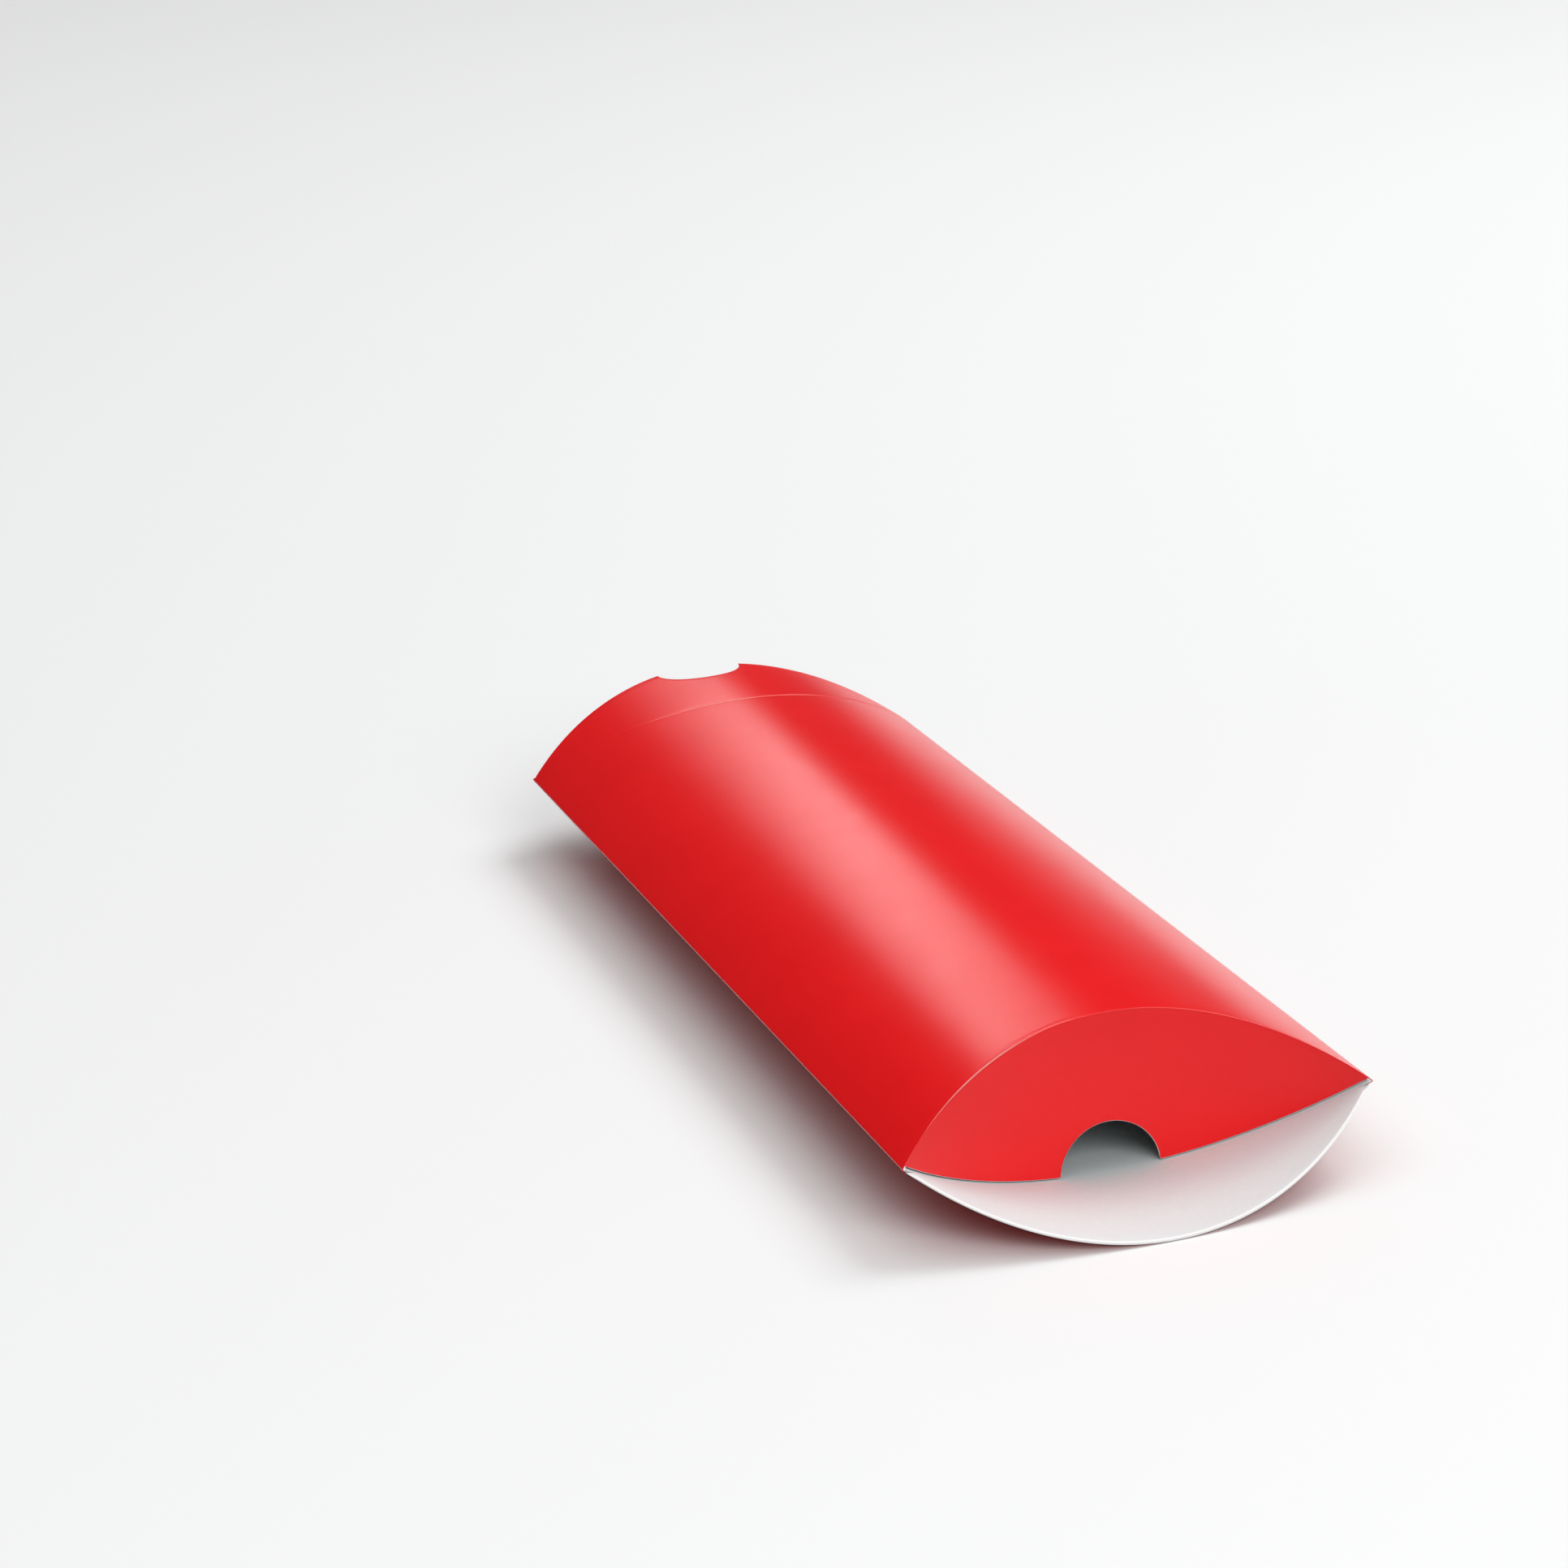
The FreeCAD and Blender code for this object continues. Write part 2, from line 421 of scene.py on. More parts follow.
def panel_tree(finishes):
    """Bowed panel: rounded ridge along each side, and a nearly square end along each curved crease."""
    board = BoardTree("bowed_panel", (
        "Radius", "Drop", "Ridge Radius", "Ridge Angle", "Inner Angle", "Inner Step", "Thickness",
        "Half Length", "Half Height", "Crease Radius", "Crease Slope", "Score Offset", "Score Reach",
        "Score Depth", "Ridge Columns", "Crease Rows", "Grading", "Up"))
    size = board.inputs
    last_column = size["Columns"] - 1.0
    column = board.across * last_column
    from_side = column.least(last_column - column)
    ridge_share = (1.0 - from_side / size["Ridge Columns"]).most(0.0)
    bow_columns = last_column / 2.0 - size["Ridge Columns"]
    bow_share = 1.0 - (from_side - size["Ridge Columns"]).most(0.0) / bow_columns
    turn = bow_share * size["Ridge Angle"] + ridge_share * (math.pi / 2 - size["Ridge Angle"])
    bow_turn = turn.least(size["Ridge Angle"])
    side = (board.across - 0.5).sign() * size["Up"]

    last_row = size["Rows"] - 1.0
    row = board.along * last_row
    from_end = row.least(last_row - row)
    nose_turn = (1.0 - from_end / size["Crease Rows"]).most(0.0) * (math.pi / 4)
    run_share = (from_end - size["Crease Rows"]).most(0.0) / (last_row / 2.0 - size["Crease Rows"])
    end = (board.along - 0.5).sign()
    open_end = (end * size["Up"]).over(0.0)

    bow_radius = size["Radius"] - size["Ridge Radius"]
    outer_x = bow_radius * bow_turn.sine() + size["Ridge Radius"] * turn.sine()
    outer_z = bow_radius * bow_turn.cosine() + size["Ridge Radius"] * turn.cosine() - size["Drop"]
    inner_turn = bow_share * (size["Inner Angle"] - size["Inner Step"]) + ridge_share * size["Inner Step"]
    inner_radius = size["Radius"] - size["Thickness"]
    inner_x = inner_radius * inner_turn.sine()
    inner_z = inner_radius * inner_turn.cosine() - size["Drop"]
    x = inner_x + (outer_x - inner_x) * board.outer
    z = inner_z + (outer_z - inner_z) * board.outer
    depth = size["Thickness"] * (1.0 - board.outer)
    drawn_back = bow_at(size, x) + depth * size["Crease Slope"]
    end_depth = drawn_back + (open_crease_at(size, x, depth) - drawn_back) * open_end
    crease = outer_z - bow_at(size, outer_x) + end_depth
    nose = size["Crease Radius"]
    run = nose * (1.0 - nose_turn.sine()) + (
        size["Half Length"] - crease - nose) * run_share ** size["Grading"]
    lowered = z - (nose * (1.0 - nose_turn.cosine()) + score_groove(size, run)) * board.outer
    # Mask of the highlight painted along this end's crease.
    board.keep("crease", painted_crease_glint(size, run, x * side, end))
    off_corners = 1.0 - bow_share ** CORNER_POWER
    board.keep("printed", board.outer - PANEL_BARE + off_corners * OPEN_PRINT * open_end)
    lift = (IN_FOLD - ON_CUT) * 2     # all four edges of a panel lie in folds
    board.mark_layers(board.outer * (1.0 - lift) + lift)
    board.bend(x * side, end * (size["Half Length"] - crease - run),
               lowered * size["Up"] + size["Half Height"])
    board.end(*finishes)
    return board


def bow_at(size, x):
    """Height of the bow over a place across the box, which is also the depth of the crease there."""
    return (size["Radius"] * size["Radius"] - x * x).root() - size["Drop"]


def open_crease_at(size, x, depth):
    """Where a panel and its open flap meet in the board: the flap is cut back, to clear when it folds."""
    reach = size["Radius"] - depth
    level = size["Radius"] * (1.0 - x * x / (reach * reach)).root() - size["Drop"]
    return level * 2.0 - bow_at(size, x)


def score_groove(size, run):
    """Shallow rounded groove beside a crease."""
    away = (run - size["Score Offset"]) / size["Score Reach"]
    return size["Score Depth"] * (1.0 - away * away).most(0.0)


def painted_crease_glint(size, run, x, end):
    """Mask of the painted crease highlight: 1 on a crease, fading out over the score beside it and towards
    the ends of the part where it is painted.
    """
    middle, half = (end * ((far - near) / 2) + (far + near) / 2 for near, far in zip(NEAR_PAINTED_GLINT, FAR_PAINTED_GLINT))
    away = (x - middle) / half
    beside = 1.0 - run / (size["Score Offset"] + size["Score Reach"])
    return beside.most(0.0) * (1.0 - away * away * PAINTED_GLINT_LOST).most(0.0)


def flap_tree(finishes, folded):
    """Span of an end flap between two turns of the bow, open in line with its panel or folded in."""
    labels = (
        "First Turn", "Last Turn", "Radius", "Drop", "Edge Radius", "Edge Reach", "Thickness", "Tip", "Taper",
        "Half Length", "Half Height", "Crease Radius", "Score Offset", "Score Reach", "Score Depth",
        "Notch Radius", "Edge Outside", "Edge Inside", "Crease Rows", "Edge Rows", "Grading", "Across",
        "Along", "Up")
    if folded:
        board = BoardTree("folded_flap", labels + ("Crease Slope", "Bead", "Bead Reach", "Lean"))
    else:
        board = BoardTree("open_flap", labels)
    size = board.inputs
    turn = size["First Turn"] + (size["Last Turn"] - size["First Turn"]) * board.across
    thin = ((size["Tip"] - turn.size()) / size["Taper"]).least(1.0).most(TIP_SHARE)
    depth = size["Thickness"] * (1.0 - board.outer) * thin
    reach = size["Radius"] + depth if folded else size["Radius"] - depth
    x = reach * turn.sine()
    level = reach * turn.cosine() - size["Drop"]
    if folded:
        above = bow_at(size, x)
        crease = above - (level - above) * size["Crease Slope"]
    else:
        crease = open_crease_at(size, x, depth)

    free_edge = size["Drop"] - (size["Edge Radius"] * size["Edge Radius"] - x * x).root()
    notch = (size["Notch Radius"] * size["Notch Radius"] - x * x).most(0.0).root() - size["Edge Reach"]
    edge = free_edge.most(notch)

    last_row = size["Rows"] - 1.0
    from_edge = board.along * last_row
    from_crease = last_row - from_edge
    nose_turn = (1.0 - from_crease / size["Crease Rows"]).most(0.0) * (math.pi / 4)
    edge_turn = (1.0 - from_edge / size["Edge Rows"]).most(0.0) * (math.pi / 2)
    run_rows = last_row - size["Crease Rows"] - size["Edge Rows"]
    run_share = ((from_crease - size["Crease Rows"]).most(0.0) / run_rows).least(1.0)
    nose = size["Crease Radius"]
    rim = (size["Edge Inside"] + (size["Edge Outside"] - size["Edge Inside"]) * board.outer) * thin
    run = nose * (1.0 - nose_turn.sine()) + rim * edge_turn.sine() + (
        (crease - edge).most(0.0) - nose - rim) * run_share ** size["Grading"]
    sunk = (nose * (1.0 - nose_turn.cosine()) + score_groove(size, run)) * board.outer * thin
    rolled = rim * (1.0 - edge_turn.cosine()) * (1.0 - board.outer * 2.0)
    reach = reach - rolled if folded else reach + rolled
    x = reach * turn.sine()
    level = reach * turn.cosine() - size["Drop"]
    # Mask of the highlight painted along this flap's crease.
    board.keep("crease", painted_crease_glint(size, run, x * size["Across"], size["Along"] * -1.0))
    at_crease = board.along.over(LAST_ROW)
    at_side = ((board.across - 0.5).size() * 2.0).over(LAST_ROW)
    printed = board.outer - FLAP_BARE
    board.keep("printed", printed if folded else printed + at_crease)
    on_cut = (1.0 - from_edge.over(size["Edge Rows"])) * ON_CUT
    in_fold = at_crease.most(at_side) * IN_FOLD
    board.mark_layers(board.outer.least(1.0 - on_cut).most(on_cut).most(in_fold))
    if folded:
        swell = (1.0 - run / size["Bead Reach"]).most(0.0)
        corner = turn / size["Tip"]
        bead = size["Bead"] * (corner * corner + 1.0) * swell * swell * (1.0 - board.outer) * thin
        outer_level = size["Radius"] * turn.cosine() - size["Drop"]
        y = level + size["Lean"] * (outer_level - crease + run) + sunk + bead
        z = crease - run
    else:
        y = crease - run
        z = level - sunk
    board.bend(x * size["Across"], (y - size["Half Length"]) * size["Along"],
               z * size["Up"] + size["Half Height"])
    board.end(*finishes)
    return board


def tab_tree(finishes):
    """Bowed strip with tapered ends, inside the right-hand side seam."""
    board = BoardTree("seam_strip", (
        "Radius", "Drop", "Thickness", "First Turn", "Last Turn", "Half Length", "Half Height",
        "Inner End", "Outer End"))
    size = board.inputs
    turn = size["First Turn"] + (size["Last Turn"] - size["First Turn"]) * board.across
    reach = size["Radius"] - size["Thickness"] * (1.0 - board.outer)
    half = size["Half Length"] - size["Inner End"] + (size["Inner End"] - size["Outer End"]) * board.across
    board.mark_layers(board.outer)
    board.bend(reach * turn.sine(), (board.along - 0.5) * 2.0 * half,
               reach * turn.cosine() - size["Drop"] + size["Half Height"])
    board.end(*finishes)
    return board


class Finish:
    """A procedural material, built on one shader."""

    def __init__(self, name):
        old = bpy.data.materials.get(name)
        if old is not None:
            bpy.data.materials.remove(old)
        self.material = bpy.data.materials.new(name)
        self.material.use_nodes = True
        self.nodes = self.material.node_tree.nodes
        self.links = self.material.node_tree.links
        self.shader = self.nodes["Principled BSDF"]
        self.place = self.nodes.new("ShaderNodeTexCoord").outputs["Object"]

    def set(self, **values):
        """Constant numbers on the shader's own sockets."""
        for label, value in values.items():
            self.shader.inputs[label.replace("_", " ")].default_value = value

    def cloud(self, grain, stretch=(1, 1, 1), detail=2.0):
        """Noise whose features are about as large as the grain."""
        mapping = self.nodes.new("ShaderNodeMapping")
        mapping.inputs["Scale"].default_value = stretch
        self.links.new(self.place, mapping.inputs["Vector"])
        noise = self.nodes.new("ShaderNodeTexNoise")
        noise.inputs["Scale"].default_value = 1 / grain
        noise.inputs["Detail"].default_value = detail
        self.links.new(mapping.outputs[0], noise.inputs["Vector"])
        return noise.outputs["Fac"]

    def spread(self, source, low, high, start=0.3, stop=0.7):
        """Bring a value from one range to another."""
        node = self.nodes.new("ShaderNodeMapRange")
        self.links.new(source, node.inputs["Value"])
        for label, value in (("From Min", start), ("From Max", stop), ("To Min", low), ("To Max", high)):
            node.inputs[label].default_value = value
        return node.outputs["Result"]

    def product(self, first, second):
        """Two values multiplied."""
        node = self.nodes.new("ShaderNodeMath")
        node.operation = "MULTIPLY"
        self.links.new(first, node.inputs[0])
        self.links.new(second, node.inputs[1])
        return node.outputs[0]

    def mix(self, share, first, second):
        """Two colours, or a socket and a colour, mixed by a share."""
        node = self.nodes.new("ShaderNodeMix")
        node.data_type = "RGBA"
        self.links.new(share, node.inputs["Factor"])
        for socket, value in ((node.inputs[6], first), (node.inputs[7], second)):
            if isinstance(value, bpy.types.NodeSocket):
                self.links.new(value, socket)
            else:
                socket.default_value = (*value, 1)
        return node.outputs[2]

    def attribute(self, label):
        """A number that the mesh carries."""
        node = self.nodes.new("ShaderNodeAttribute")
        node.attribute_name = label
        return node.outputs["Fac"]

    def depth(self):
        """How far along the box, or behind it, a place lies."""
        node = self.nodes.new("ShaderNodeSeparateXYZ")
        self.links.new(self.place, node.inputs[0])
        return node.outputs["Y"]

    def seen(self):
        """1 for what the camera sees, straight on or in a mirror or glass, and 0 for bounced light."""
        path = self.nodes.new("ShaderNodeLightPath")
        total = path.outputs["Is Camera Ray"]
        for label in ("Is Glossy Ray", "Is Transmission Ray"):
            node = self.nodes.new("ShaderNodeMath")
            node.operation = "ADD"
            node.use_clamp = True
            self.links.new(total, node.inputs[0])
            self.links.new(path.outputs[label], node.inputs[1])
            total = node.outputs[0]
        return total

    def feed(self, label, source):
        """Link a varying value to the shader."""
        self.links.new(source, self.shader.inputs[label])

    def bump(self, source, height, strength=1.0, under=None):
        """Raise the surface by a height, over any bump under it."""
        node = self.nodes.new("ShaderNodeBump")
        node.inputs["Strength"].default_value = strength
        node.inputs["Distance"].default_value = height
        self.links.new(source, node.inputs["Height"])
        if under is not None:
            self.links.new(under, node.inputs["Normal"])
        self.links.new(node.outputs[0], self.shader.inputs["Normal"])
        return node.outputs[0]


def red_face():
    """Laminated print: even red, satin, with the faint tooth of the board under the film, and a pale
    highlight painted along parts of the creases.
    """
    colours = bpy.context.scene.pillow_box_finish
    finish = Finish("satin_red_face")
    finish.set(Specular_IOR_Level=0.40)
    print_cloud = finish.spread(finish.cloud(14 * MM, detail=3.0), 0.0, 1.0)
    colour = finish.mix(print_cloud, colours.red, colours.deep_red)
    broken = finish.spread(finish.cloud(7 * MM), 0.5, 1.0)
    # Pale highlight painted along parts of the creases, broken up by a cloud.
    glinting = finish.spread(finish.attribute("crease"), 0.0, 1.0, start=0.72, stop=0.9)
    glint_mask = finish.product(glinting, broken)
    finish.feed("Base Color", finish.mix(glint_mask, colour, colours.painted_glint_red))
    finish.feed("Roughness", finish.spread(finish.cloud(5 * MM), 0.24, 0.262))
    tooth = finish.bump(finish.cloud(0.8 * MM, detail=1.0), 0.002 * MM, 0.4)
    finish.bump(finish.cloud(9 * MM, (1, 0.4, 1), 1.0), 0.05 * MM, 0.35, tooth)
    return finish.material


def white_back():
    """Bare board: matt white with faint fibres that run along the box."""
    colours = bpy.context.scene.pillow_box_finish
    finish = Finish("matt_white_back")
    finish.set(Roughness=0.75, Specular_IOR_Level=0.3)
    fibres = finish.spread(finish.cloud(0.4 * MM, (1, 0.25, 1), 4.0), 0.0, 1.0)
    shade = tuple(0.965 * value for value in colours.white)
    finish.feed("Base Color", finish.mix(fibres, colours.white, shade))
    finish.bump(finish.cloud(0.25 * MM, (1, 0.3, 1), 4.0), 0.008 * MM, 0.5)
    return finish.material


def cut_edge():
    """Core of the board where it is cut, with fine torn fibres."""
    colours = bpy.context.scene.pillow_box_finish
    finish = Finish("white_cut_edge")
    finish.set(Roughness=0.85, Specular_IOR_Level=0.25)
    fibres = finish.spread(finish.cloud(0.15 * MM, (1, 1, 3), 4.0), 0.0, 1.0)
    shade = tuple(0.94 * value for value in colours.core)
    finish.feed("Base Color", finish.mix(fibres, colours.core, shade))
    finish.bump(finish.cloud(0.1 * MM, detail=4.0), 0.015 * MM, 0.6)
    return finish.material


def crease_fold():
    """Board inside a fold: red near the printed side and white further in."""
    colours = bpy.context.scene.pillow_box_finish
    finish = Finish("board_in_a_fold")
    finish.set(Roughness=0.5, Specular_IOR_Level=0.3)
    printed = finish.spread(finish.attribute("printed"), 0.0, 1.0, start=0.05, stop=0.1)
    finish.feed("Base Color", finish.mix(printed, colours.white, colours.deep_red))
    return finish.material


def dried_glue():
    """Dried glue: yellowish, with a slight gloss and a ripple from the roller."""
    colours = bpy.context.scene.pillow_box_finish
    finish = Finish("dried_seam_glue")
    finish.set(Roughness=0.38)
    ripple = finish.spread(finish.cloud(2 * MM, (1, 0.3, 1)), 0.0, 1.0)
    shade = tuple(0.85 * value for value in colours.glue)
    finish.feed("Base Color", finish.mix(ripple, colours.glue, shade))
    finish.bump(finish.cloud(1.2 * MM, (1, 0.3, 1)), 0.03 * MM, 0.6)
    return finish.material


def board_finishes():
    """Outside, inside, cut edge and fold of the board, made once."""
    made = bpy.data.materials
    names = (("satin_red_face", red_face), ("matt_white_back", white_back), ("white_cut_edge", cut_edge),
             ("board_in_a_fold", crease_fold))
    return tuple(made.get(name) or build() for name, build in names)


class PILLOWBOX_OT_make_panels(bpy.types.Operator):
    """Bow the upper and the lower panel"""

    bl_idname = "pillow_box.make_panels"
    bl_label = "Make panels"

    def execute(self, context):
        sizes = context.scene.pillow_box_sizes
        bow = Bow(sizes)
        tree = panel_tree(board_finishes())
        values = {
            **bow.inputs(sizes), "Columns": 121, "Rows": 105, "Ridge Columns": 6.0, "Grading": 2.2,
            "Ridge Radius": sizes.ridge_radius, "Ridge Angle": bow.ridge_angle,
            "Inner Angle": bow.inner_angle, "Inner Step": math.radians(0.6),
        }
        for name, up in (("upper_panel", 1.0), ("lower_panel", -1.0)):
            piece = tree.make(f"{name}_board", {**values, "Up": up})
            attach(piece, "box")
            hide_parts(name)
        return {"FINISHED"}


class PILLOWBOX_OT_make_flaps(bpy.types.Operator):
    """Make the four end flaps, each in spans from the middle of one strip to the middle of the next"""

    bl_idname = "pillow_box.make_flaps"
    bl_label = "Make flaps"

    # Name, folded in at rest, with a notch, and the signs of its X, Y and Z against the near upper end.
    flaps = (
        ("near_thumb_flap", True, True, (1.0, 1.0, 1.0)),
        ("near_plain_flap", False, False, (-1.0, 1.0, -1.0)),
        ("far_thumb_flap", False, True, (-1.0, -1.0, 1.0)),
        ("far_plain_flap", True, False, (1.0, -1.0, -1.0)),
    )

    def execute(self, context):
        finishes = board_finishes()
        trees = {folded: flap_tree(finishes, folded) for folded in (True, False)}
        for name, folded, notched, signs in self.flaps:
            for number in range(1, STRIPS):
                self.make_span(context, trees[folded], name, folded, notched, signs, number)
        return {"FINISHED"}

    def make_span(self, context, tree, name, folded, notched, signs, number):
        """Span from the middle of one strip to the middle of the next, out to the corner at the ends."""
        sizes = context.scene.pillow_box_sizes
        bow = Bow(sizes)
        first = bow.strip_middle(number)
        last = bow.strip_middle(number + 1)
        left = -sizes.flap_tip if number == 1 else first
        right = sizes.flap_tip if number == STRIPS - 1 else last
        drawn = sorted((left * signs[0], right * signs[0]))
        beside_notch = notched and number in (STRIPS // 2, STRIPS // 2 + 1)
        values = {
            **bow.inputs(sizes), "Columns": 95 if beside_notch else 37, "Rows": 36, "Edge Rows": 4.0,
            "Grading": 2.0, "First Turn": drawn[0], "Last Turn": drawn[1], "Tip": sizes.flap_tip,
            "Taper": sizes.tip_taper, "Edge Radius": bow.edge_radius, "Edge Reach": bow.edge_reach,
            "Edge Outside": sizes.edge_outside, "Edge Inside": sizes.edge_inside, "Bead": sizes.bead,
            "Bead Reach": sizes.bead_reach, "Notch Radius": sizes.notch_radius if notched else 0.0,
            "Lean": math.tan(sizes.flap_tilt), "Across": signs[0], "Along": signs[1], "Up": signs[2],
        }
        piece = tree.make(f"{name}_span_{number}", values)
        start, end = self.blend_line(sizes, bow, folded, signs, first, last)
        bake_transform(piece)
        nodes = [f"{name}_strip_{number + 1}"]
        if number == 1:
            nodes.append(f"{name}_strip_1")
        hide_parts(*nodes)

    def blend_line(self, sizes, bow, folded, signs, first, last):
        """Line across a span, square to the straight lines of the bend, along which its turn grows."""
        ends = []
        for turn in (first * signs[0], last * signs[0]):
            x = bow.radius * math.sin(turn)
            level = bow.radius * math.cos(turn) - bow.drop
            ends.append(Vector((x, level, 0.0)) if folded else Vector((x, 0.0, level)))
        straight = Vector((0, math.tan(sizes.flap_tilt), -1)) if folded else Vector((0, 1, 0))
        straight.normalize()
        middle = (ends[0] + ends[1]) / 2
        half = (ends[1] - ends[0]) / 2 / BLEND_SHARE
        half -= straight * half.dot(straight)
        return [self.placed(bow, signs, middle - half), self.placed(bow, signs, middle + half)]

    def placed(self, bow, signs, point):
        """A point drawn at the near upper end, brought to the flap's own end."""
        along = (point.y - bow.half_length) * signs[1]
        return (point.x * signs[0], along, point.z * signs[2] + bow.half_height)


class PILLOWBOX_OT_make_seam(bpy.types.Operator):
    """Make the glue tab inside the side seam, and the film of glue on it"""

    bl_idname = "pillow_box.make_seam"
    bl_label = "Make glue seam"

    def execute(self, context):
        sizes = context.scene.pillow_box_sizes
        bow = Bow(sizes)
        finishes = board_finishes()
        glue = bpy.data.materials.get("dried_seam_glue") or dried_glue()
        tab_radius = bow.radius - sizes.board - sizes.glue
        self.make_strip("glue_tab", finishes, sizes, bow, tab_radius, sizes.board, 0.0, "red_board")
        self.make_strip("seam_glue", (glue, glue, glue, glue), sizes, bow, bow.radius - sizes.board,
                        sizes.glue, sizes.glue_margin, "seam_glue")
        return {"FINISHED"}

    def make_strip(self, node, finishes, sizes, bow, radius, thickness, inset, slot):
        """Strip under the right-hand side of the upper panel."""
        half_width = sizes.width / 2
        inner_x = half_width - sizes.tab_width + inset
        inner_bow = math.sqrt(bow.radius ** 2 - inner_x ** 2) - bow.drop
        fold_gap = 0.05 * MM
        outer_level = inset + fold_gap
        piece = tab_tree(finishes).make(f"{node}_strip", {
            **bow.inputs(sizes), "Columns": 25, "Rows": 41, "Radius": radius, "Thickness": thickness,
            "First Turn": math.asin(inner_x / radius),
            "Last Turn": math.acos((bow.drop + outer_level) / radius),
            "Inner End": inner_bow + sizes.tab_clearance + inset, "Outer End": sizes.tab_clearance + inset,
        })
        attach(piece, "box")
        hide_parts(node)


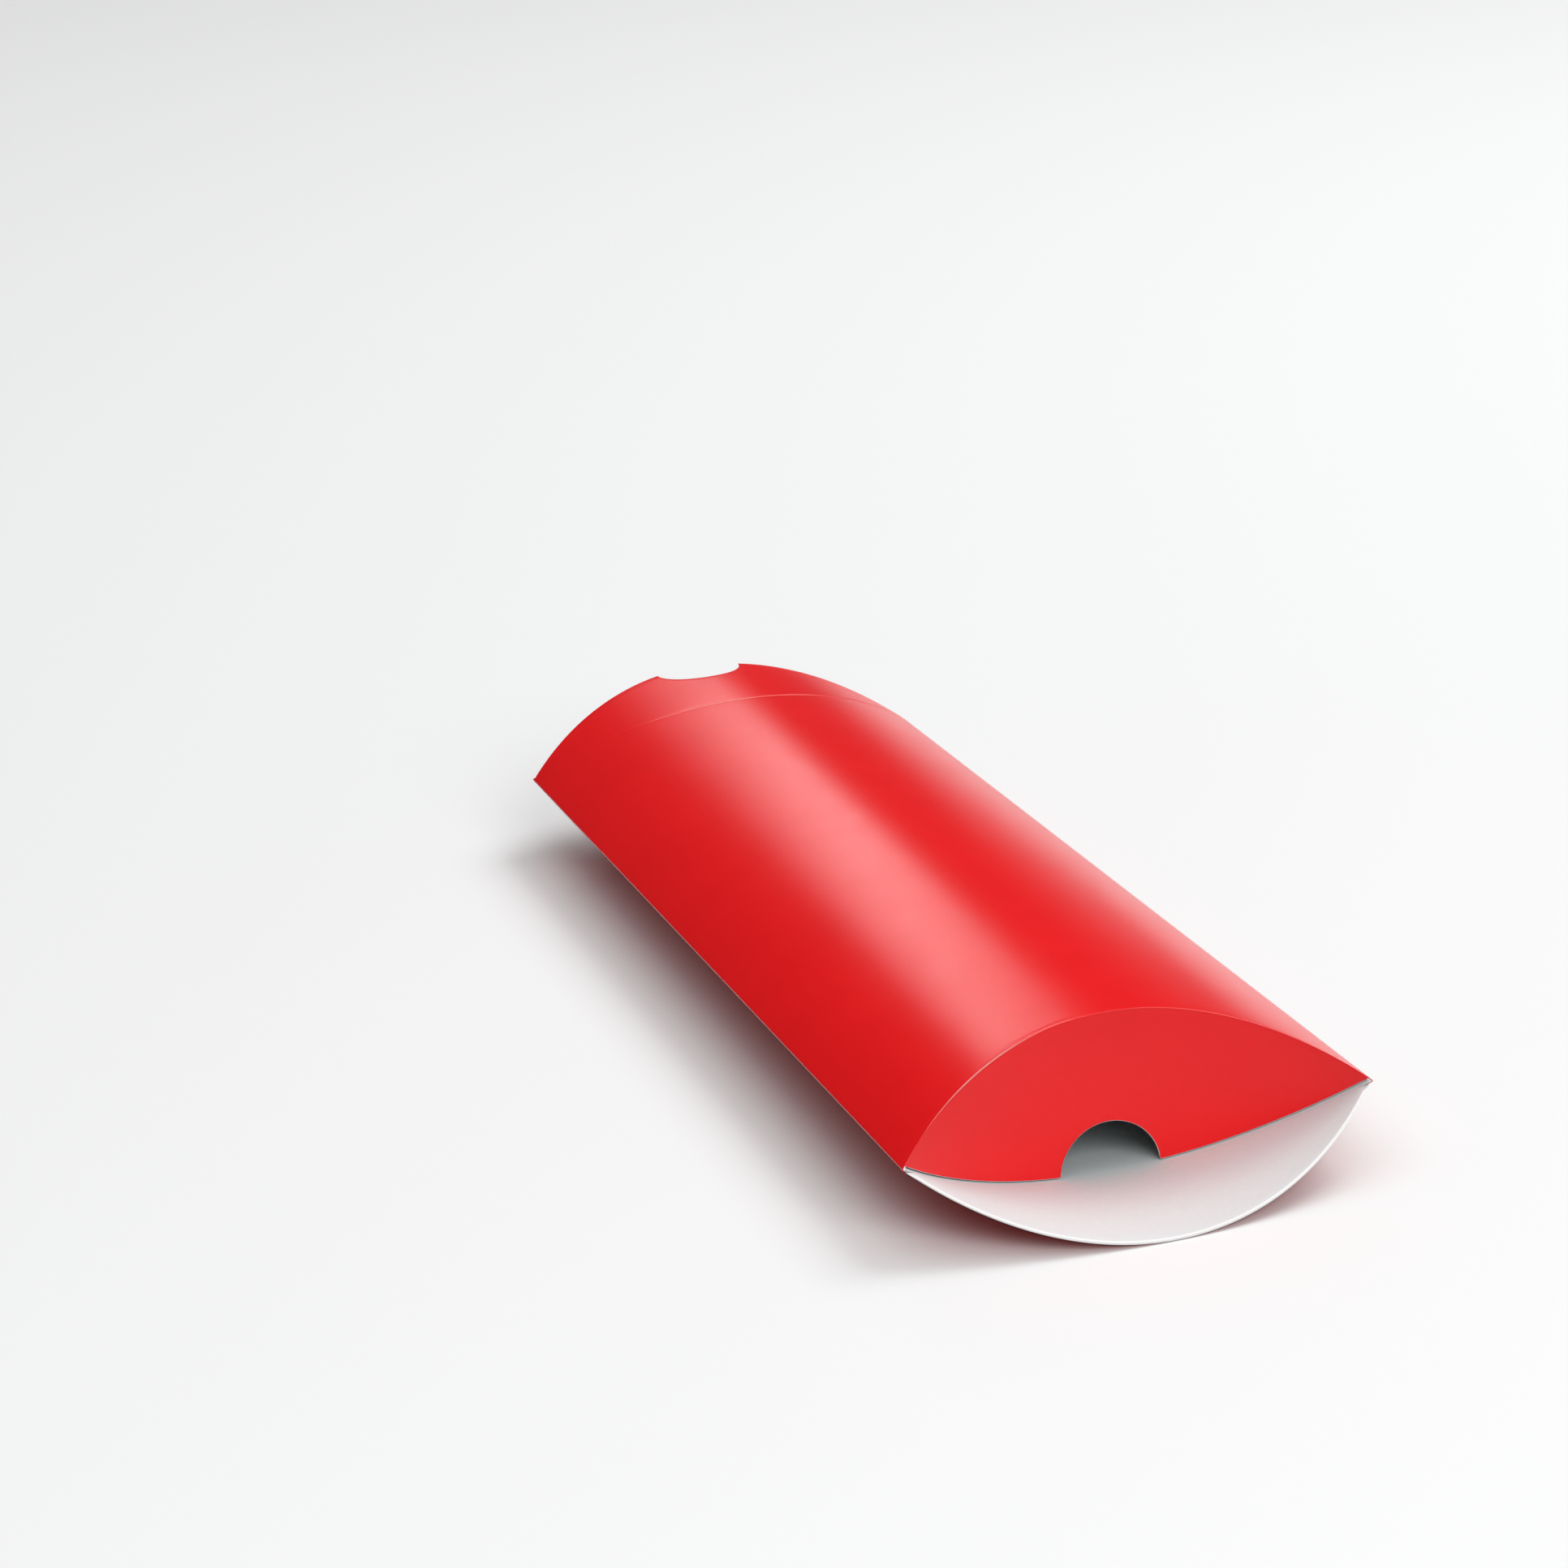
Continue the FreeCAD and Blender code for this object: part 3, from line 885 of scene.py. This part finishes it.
class PILLOWBOX_OT_make_stage(bpy.types.Operator):
    """Make the floor, the lamps and the camera"""

    bl_idname = "pillow_box.make_stage"
    bl_label = "Make stage"

    # Name of a lamp, its place, the direction of its height, its width and height, and its power's label.
    lamps = (
        ("front_lamp", (0.12, -1.34, 0.75), (0, 0, 1), (0.9, 0.7), "front_power"),
        ("side_lamp", (0.9, 0.35, 1.2), (0, 0, 1), (0.8, 0.8), "side_power"),
        ("strip_lamp", (0.285, 1.966, 0.965), (-0.74, 0, 0.67), (0.12, 0.80), "strip_power"),
        ("low_lamp", (0.95, 1.9, 0.12), (0, 0, 1), (0.22, 0.3), "low_power"),
    )
    aim = (0, 0, 0.015)         # point inside the box that every lamp faces
    camera_place = (-0.203337, -0.631164, 0.243793)
    camera_right = (0.950478, -0.302424, -0.071631)
    camera_up = (0.156312, 0.265964, 0.951225)
    sky_low = 0.5               # height on a dome of radius 1 at which the light overhead starts
    sky_high = 0.95             # and at which it is full

    def execute(self, context):
        stage = context.scene.pillow_box_stage
        self.make_floor(stage)
        self.make_room(context, stage)
        for name, place, upward, size, power in self.lamps:
            self.make_lamp(name, place, upward, size, getattr(stage, power))
        self.make_camera(context, stage)
        context.scene.view_settings.view_transform = "Standard"
        return {"FINISHED"}

    def make_floor(self, stage):
        """Wide pale floor under the box, painted darker up to the box's far end as soft shade, and brighter
        behind it.
        """
        reach = 8.0
        level = -0.0001
        corners = [(x * reach, y * reach, level) for x, y in ((-1, -1), (1, -1), (1, 1), (-1, 1))]
        mesh = bpy.data.meshes.new("floor")
        mesh.from_pydata(corners, [], [(0, 1, 2, 3)])
        floor = bpy.data.objects.new("floor", mesh)
        bpy.context.scene.collection.objects.link(floor)
        finish = Finish("pale_floor")
        finish.set(Roughness=0.9, Specular_IOR_Level=0.1)
        # Painted soft shade: the floor keeps its darker near colour up to the box's far end and fades to the
        # brighter far colour behind it.
        behind = finish.spread(finish.depth(), 0.0, 1.0, start=0.1, stop=1.1)
        pale = finish.mix(behind, stage.floor, stage.far_floor)
        finish.feed("Base Color", finish.mix(finish.seen(), stage.bounce, pale))
        mesh.materials.append(finish.material)

    def make_room(self, context, stage):
        """Room with its light overhead, fading towards the horizon."""
        world = bpy.data.worlds.new("studio_room")
        context.scene.world = world
        world.use_nodes = True
        nodes = world.node_tree.nodes
        links = world.node_tree.links
        background = nodes["Background"]
        place = nodes.new("ShaderNodeTexCoord")
        parts = nodes.new("ShaderNodeSeparateXYZ")
        fade = nodes.new("ShaderNodeMapRange")
        fade.interpolation_type = "SMOOTHSTEP"
        links.new(place.outputs["Generated"], parts.inputs[0])
        links.new(parts.outputs[2], fade.inputs["Value"])
        fade.inputs["From Min"].default_value = self.sky_low
        fade.inputs["From Max"].default_value = self.sky_high
        fade.inputs["To Min"].default_value = stage.wall
        fade.inputs["To Max"].default_value = stage.dome
        links.new(fade.outputs["Result"], background.inputs["Strength"])
        background.inputs["Color"].default_value = (1, 1, 1, 1)

    def make_lamp(self, name, place, upward, size, power):
        """Soft rectangular lamp, aimed at the box, with its height along a direction."""
        light = bpy.data.lights.new(name, "AREA")
        light.shape = "RECTANGLE"
        light.size, light.size_y = size
        light.energy = power
        lamp = bpy.data.objects.new(name, light)
        back = (Vector(place) - Vector(self.aim)).normalized()
        right = Vector(upward).cross(back).normalized()
        turn = Matrix((right, back.cross(right), back)).transposed().to_4x4()
        lamp.matrix_world = Matrix.Translation(place) @ turn
        lamp.visible_camera = False
        bpy.context.scene.collection.objects.link(lamp)

    def make_camera(self, context, stage):
        """Camera where the photograph was taken from, with its slight roll."""
        camera = bpy.data.cameras.new("camera")
        camera.sensor_width = 36.0
        camera.lens = stage.lens
        camera.clip_start = 0.01
        camera.clip_end = 60.0
        view = bpy.data.objects.new("camera", camera)
        right = Vector(self.camera_right)
        upward = Vector(self.camera_up)
        turn = Matrix((right, upward, right.cross(upward))).transposed().to_4x4()
        view.matrix_world = Matrix.Translation(self.camera_place) @ turn
        context.scene.collection.objects.link(view)
        context.scene.camera = view


class PILLOWBOX_PT_sidebar(bpy.types.Panel):
    """Pieces of the pillow box, with their sizes and colours"""

    bl_idname = "PILLOWBOX_PT_sidebar"
    bl_label = "Pillow box"
    bl_space_type = "VIEW_3D"
    bl_region_type = "UI"
    bl_category = "Pillow box"

    def draw(self, context):
        for operator in OPERATORS:
            self.layout.operator(operator.bl_idname)
        for group in (context.scene.pillow_box_sizes, context.scene.pillow_box_finish,
                      context.scene.pillow_box_stage):
            column = self.layout.column(align=True)
            for label in group.__annotations__:
                column.prop(group, label)


GROUPS = (
    ("pillow_box_sizes", PillowBoxSizes),
    ("pillow_box_finish", PillowBoxFinish),
    ("pillow_box_stage", PillowBoxStage),
)
OPERATORS = (
    PILLOWBOX_OT_make_panels,
    PILLOWBOX_OT_make_flaps,
    PILLOWBOX_OT_make_seam,
    PILLOWBOX_OT_make_stage,
)


def register():
    """Add the sizes, the operators and the sidebar."""
    for label, group in GROUPS:
        bpy.utils.register_class(group)
        setattr(bpy.types.Scene, label, bpy.props.PointerProperty(type=group))
    for operator in OPERATORS:
        bpy.utils.register_class(operator)
    bpy.utils.register_class(PILLOWBOX_PT_sidebar)


def unregister():
    """Take them away again."""
    bpy.utils.unregister_class(PILLOWBOX_PT_sidebar)
    for operator in reversed(OPERATORS):
        bpy.utils.unregister_class(operator)
    for label, group in reversed(GROUPS):
        delattr(bpy.types.Scene, label)
        bpy.utils.unregister_class(group)


def main():
    """Make every piece."""
    register()
    bpy.ops.pillow_box.make_panels()
    bpy.ops.pillow_box.make_flaps()
    bpy.ops.pillow_box.make_seam()
    bpy.ops.pillow_box.make_stage()


if __name__ == "__main__":
    main()
